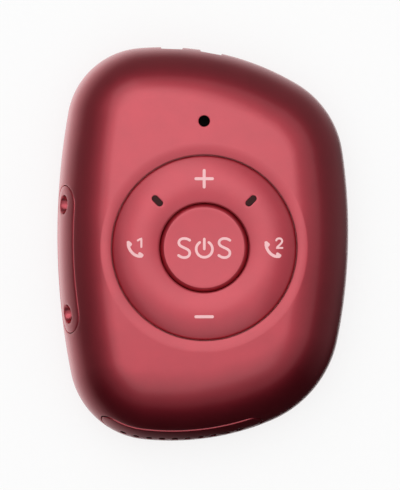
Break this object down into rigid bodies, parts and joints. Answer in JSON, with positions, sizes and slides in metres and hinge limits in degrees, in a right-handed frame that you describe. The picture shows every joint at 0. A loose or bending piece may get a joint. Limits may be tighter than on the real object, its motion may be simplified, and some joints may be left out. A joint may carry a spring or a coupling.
{
  "type": "gps personal alarm",
  "caption": "Pebble-shaped pendant alarm with a large centre key inside a rocking ring key, a side bar for a lanyard, a loudspeaker grille and charging contacts.",
  "frame": {"origin": "on the flat back, under the middle of the housing's bounding box", "axes": "+X to the right and +Y to the top edge as the dial is read, +Z out of the front face"},
  "size_m": [0.045, 0.061, 0.016],
  "materials": {
    "shell_red": "satin metallic red paint on moulded plastic",
    "rear_red": "satin metallic red paint on moulded plastic",
    "key_red": "satin metallic red paint on moulded plastic",
    "seal_rubber": "matt",
    "frame_plastic": "fine matt texture",
    "silicone": "matt translucent",
    "lens_brown": "smoked clear plastic",
    "mesh_black": "fine woven mesh",
    "can_metal": "satin",
    "board_green": "solder resist",
    "led_white": "clear",
    "ceramic": "unglazed",
    "copper": "bare foil",
    "battery_foil": "laminated foil pouch",
    "foam": "closed-cell foam",
    "contact_gold": "gold plating",
    "screw_steel": "plated"
  },
  "bodies": {
    "housing": {"front_shell": "shell_red", "rear_shell": "rear_red", "shell_seal": "seal_rubber", "inner_frame": "frame_plastic", "lanyard_bar": "shell_red", "speaker_grille": "shell_red", "speaker_mesh": "mesh_black", "speaker": "frame_plastic", "microphone": "can_metal", "mic_gasket": "seal_rubber", "mic_mesh": "mesh_black", "main_board": "board_green", "rocker_switches": "can_metal", "sos_switch": "can_metal", "status_leds": "led_white", "modem_shield": "can_metal", "gps_antenna": "ceramic", "cellular_antenna": "copper", "vibration_motor": "can_metal", "battery": "battery_foil", "battery_pad": "foam", "battery_tabs": "can_metal", "charge_contacts": "contact_gold", "cover_screws": "screw_steel"},
    "sos_key": {"sos_key": "key_red"},
    "ring_pad": {"ring_pad": "silicone"},
    "ring_key": {"ring_key": "key_red", "led_lenses": "lens_brown"}
  },
  "joints": [
    {"name": "sos_press", "type": "slide", "parent": "housing", "child": "sos_key", "axis": [0, 0, -1], "range_m": [0, 0.0003], "stiffness_N_per_m": 3000, "springref_m": -0.0003},
    {"name": "ring_tilt_plus_minus", "type": "hinge", "parent": "housing", "child": "ring_pad", "pos_m": [0.0002, -0.0006, 0.0125], "axis": [1, 0, 0], "range_deg": [-1.2, 1.2], "stiffness_Nm_per_rad": 0.75},
    {"name": "ring_tilt_one_two", "type": "hinge", "parent": "ring_pad", "child": "ring_key", "pos_m": [0.0002, -0.0006, 0.0125], "axis": [0, 1, 0], "range_deg": [-1.2, 1.2], "stiffness_Nm_per_rad": 0.75}
  ]
}
